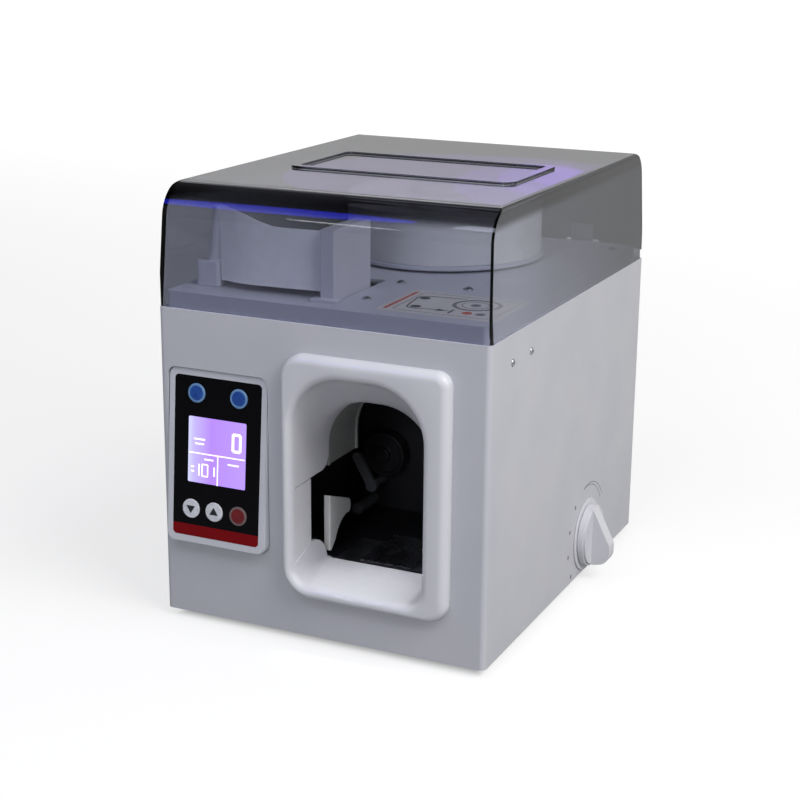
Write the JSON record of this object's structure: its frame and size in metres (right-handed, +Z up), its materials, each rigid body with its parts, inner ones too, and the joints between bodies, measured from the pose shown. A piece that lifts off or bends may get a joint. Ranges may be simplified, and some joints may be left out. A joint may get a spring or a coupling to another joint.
{
  "type": "banknote strapping machine",
  "caption": "Counter-top machine that wraps paper tape round a bundle of notes: key panel, arched mouth, tape reel on the deck, smoked hinged cover and a side dial.",
  "frame": {"origin": "centre of the footprint box on the table plane, at the feet's underside", "axes": "+X to the machine's right (dial side), +Y to the back, +Z up"},
  "size_m": [0.2617, 0.3178, 0.3056],
  "materials": {
    "case_enamel": "satin powder coat",
    "base_steel": "galvanised sheet",
    "foot_rubber": "matt",
    "screw_steel": "plain",
    "dark_screw": "blackened",
    "panel_grey": "fine texture",
    "bezel_plastic": "satin",
    "panel_black": "gloss",
    "strip_red": "gloss",
    "lcd_glow": "lit display",
    "board_green": "solder mask",
    "key_blue": "satin",
    "key_white": "satin",
    "key_red": "satin",
    "mouth_white": "satin moulded",
    "track_grey": "satin",
    "bay_black": "matt",
    "drum_black": "satin",
    "lever_grey": "satin",
    "head_metal": "milled",
    "gear_steel": "ground",
    "pinion_brass": "cut",
    "motor_steel": "black",
    "blade_steel": "ground",
    "heater_copper": "warm",
    "feed_rubber": "knurled",
    "paper_white": "matt",
    "core_card": "matt",
    "guide_white": "satin",
    "label_print": "laminated",
    "trafo_iron": "lacquered",
    "socket_black": "matt",
    "dial_white": "satin moulded",
    "smoke_acrylic": "smoked clear",
    "hinge_steel": "plain"
  },
  "bodies": {
    "base": {"base_pan": "base_steel", "rubber_feet": "foot_rubber", "foot_screws": "screw_steel", "cabinet_shell": "case_enamel", "rear_panel": "base_steel", "rear_screws": "dark_screw", "side_screws": "dark_screw", "deck_plate": "panel_grey", "deck_screws": "screw_steel", "control_bezel": "bezel_plastic", "keypad_panel": "panel_black", "accent_strip": "strip_red", "display_window": "lcd_glow", "display_board": "board_green", "mouth_bezel": "mouth_white", "arch_track": "track_grey", "guide_horn": "guide_white", "bay_housing": "bay_black", "head_block": "head_metal", "cam_motor": "motor_steel", "feed_frame": "base_steel", "feed_motor": "motor_steel", "guide_post": "guide_white", "slot_guide": "guide_white", "tape_strip": "paper_white", "deck_label": "label_print", "control_board": "board_green", "transformer": "trafo_iron", "power_inlet": "socket_black", "potentiometer": "gear_steel", "dial_plate": "dial_white", "hinge_brackets": "hinge_steel", "heater_blade": "heater_copper", "rocker_switch": "socket_black"},
    "reel": {"turntable": "panel_grey", "roll_core": "core_card", "paper_roll": "paper_white"},
    "guide_wheel": {"guide_disc": "guide_white"},
    "drum": {"tape_drum": "drum_black"},
    "lever": {"bay_lever": "lever_grey"},
    "low_roller": {"lower_roller": "gear_steel"},
    "rocker": {"switch_rocker": "socket_black"},
    "cams": {"cam_shaft": "gear_steel"},
    "pinion": {"drive_pinion": "pinion_brass"},
    "clamp_a": {"front_clamp": "blade_steel"},
    "clamp_b": {"middle_clamp": "blade_steel"},
    "clamp_c": {"rear_clamp": "blade_steel"},
    "cutter": {"cutter_blade": "blade_steel"},
    "anvil": {"anvil_plate": "blade_steel"},
    "feed": {"feed_roller": "feed_rubber"},
    "pinch": {"pinch_roller": "gear_steel"},
    "key_blue_left": {"blue_key_left": "key_blue"},
    "key_blue_right": {"blue_key_right": "key_blue"},
    "key_down": {"down_key": "key_white"},
    "key_up": {"up_key": "key_white"},
    "key_red": {"red_key": "key_red"},
    "dial": {"dial_knob": "dial_white"},
    "cover": {"smoked_cover": "smoke_acrylic", "hinge_pin": "hinge_steel"}
  },
  "joints": [
    {"name": "cover_hinge", "type": "hinge", "parent": "base", "child": "cover", "pos_m": [-0.01025, 0.151, 0.229], "axis": [-1, 0, 0], "range_deg": [0, 90]},
    {"name": "reel_spin", "type": "hinge", "parent": "base", "child": "reel", "pos_m": [-0.01025, 0.05, 0.233], "axis": [0, 0, 1], "continuous": true},
    {"name": "guide_wheel_spin", "type": "hinge", "parent": "base", "child": "guide_wheel", "pos_m": [-0.06325, -0.082, 0.233], "axis": [0, 0, 1], "continuous": true},
    {"name": "drum_spin", "type": "hinge", "parent": "base", "child": "drum", "pos_m": [-0.03325, 0.01, 0.089], "axis": [0, 1, 0], "continuous": true},
    {"name": "lever_swing", "type": "hinge", "parent": "base", "child": "lever", "pos_m": [-0.03625, 0.01, 0.0685], "axis": [0, 1, 0], "range_deg": [-5, 20], "stiffness_Nm_per_rad": 0.02},
    {"name": "lower_roller_spin", "type": "hinge", "parent": "base", "child": "low_roller", "pos_m": [-0.04575, 0.01, 0.05], "axis": [0, 1, 0], "continuous": true},
    {"name": "power_rocker", "type": "hinge", "parent": "base", "child": "rocker", "pos_m": [-0.03825, 0.1535, 0.046], "axis": [1, 0, 0], "range_deg": [-8, 8]},
    {"name": "cam_spin", "type": "hinge", "parent": "base", "child": "cams", "pos_m": [0.0143, -0.0997, 0.0215], "axis": [0, 1, 0], "continuous": true},
    {"name": "pinion_spin", "type": "hinge", "parent": "base", "child": "pinion", "pos_m": [0.03215, -0.0587, 0.0215], "axis": [0, 1, 0], "continuous": true},
    {"name": "feed_spin", "type": "hinge", "parent": "base", "child": "feed", "pos_m": [-0.00455, -0.086, 0.203], "axis": [0, 1, 0], "continuous": true},
    {"name": "pinch_spin", "type": "hinge", "parent": "base", "child": "pinch", "pos_m": [-0.02195, -0.086, 0.203], "axis": [0, 1, 0], "continuous": true},
    {"name": "front_clamp_lift", "type": "slide", "parent": "base", "child": "clamp_a", "axis": [0, 0, 1], "range_m": [0, 0.002]},
    {"name": "middle_clamp_lift", "type": "slide", "parent": "base", "child": "clamp_b", "axis": [0, 0, 1], "range_m": [0, 0.002]},
    {"name": "rear_clamp_lift", "type": "slide", "parent": "base", "child": "clamp_c", "axis": [0, 0, 1], "range_m": [0, 0.002]},
    {"name": "cutter_lift", "type": "slide", "parent": "base", "child": "cutter", "axis": [0, 0, 1], "range_m": [0, 0.002]},
    {"name": "anvil_slide", "type": "slide", "parent": "base", "child": "anvil", "axis": [0, 1, 0], "range_m": [0, 0.03]},
    {"name": "dial_turn", "type": "hinge", "parent": "base", "child": "dial", "pos_m": [0.10975, 0.046, 0.034], "axis": [1, 0, 0], "range_deg": [-140, 140]},
    {"name": "press_blue_left", "type": "slide", "parent": "base", "child": "key_blue_left", "axis": [0, 0.9966, -0.0819], "range_m": [0, 0.001], "stiffness_N_per_m": 400},
    {"name": "press_blue_right", "type": "slide", "parent": "base", "child": "key_blue_right", "axis": [0, 0.9966, -0.0819], "range_m": [0, 0.001], "stiffness_N_per_m": 400},
    {"name": "press_down", "type": "slide", "parent": "base", "child": "key_down", "axis": [0, 0.9966, -0.0819], "range_m": [0, 0.001], "stiffness_N_per_m": 400},
    {"name": "press_up", "type": "slide", "parent": "base", "child": "key_up", "axis": [0, 0.9966, -0.0819], "range_m": [0, 0.001], "stiffness_N_per_m": 400},
    {"name": "press_red", "type": "slide", "parent": "base", "child": "key_red", "axis": [0, 0.9966, -0.0819], "range_m": [0, 0.001], "stiffness_N_per_m": 400}
  ],
  "couplings": [
    {"joint": "pinion_spin", "follows": "cam_spin", "ratio": -2.6667},
    {"joint": "pinch_spin", "follows": "feed_spin", "ratio": -1.4286}
  ]
}
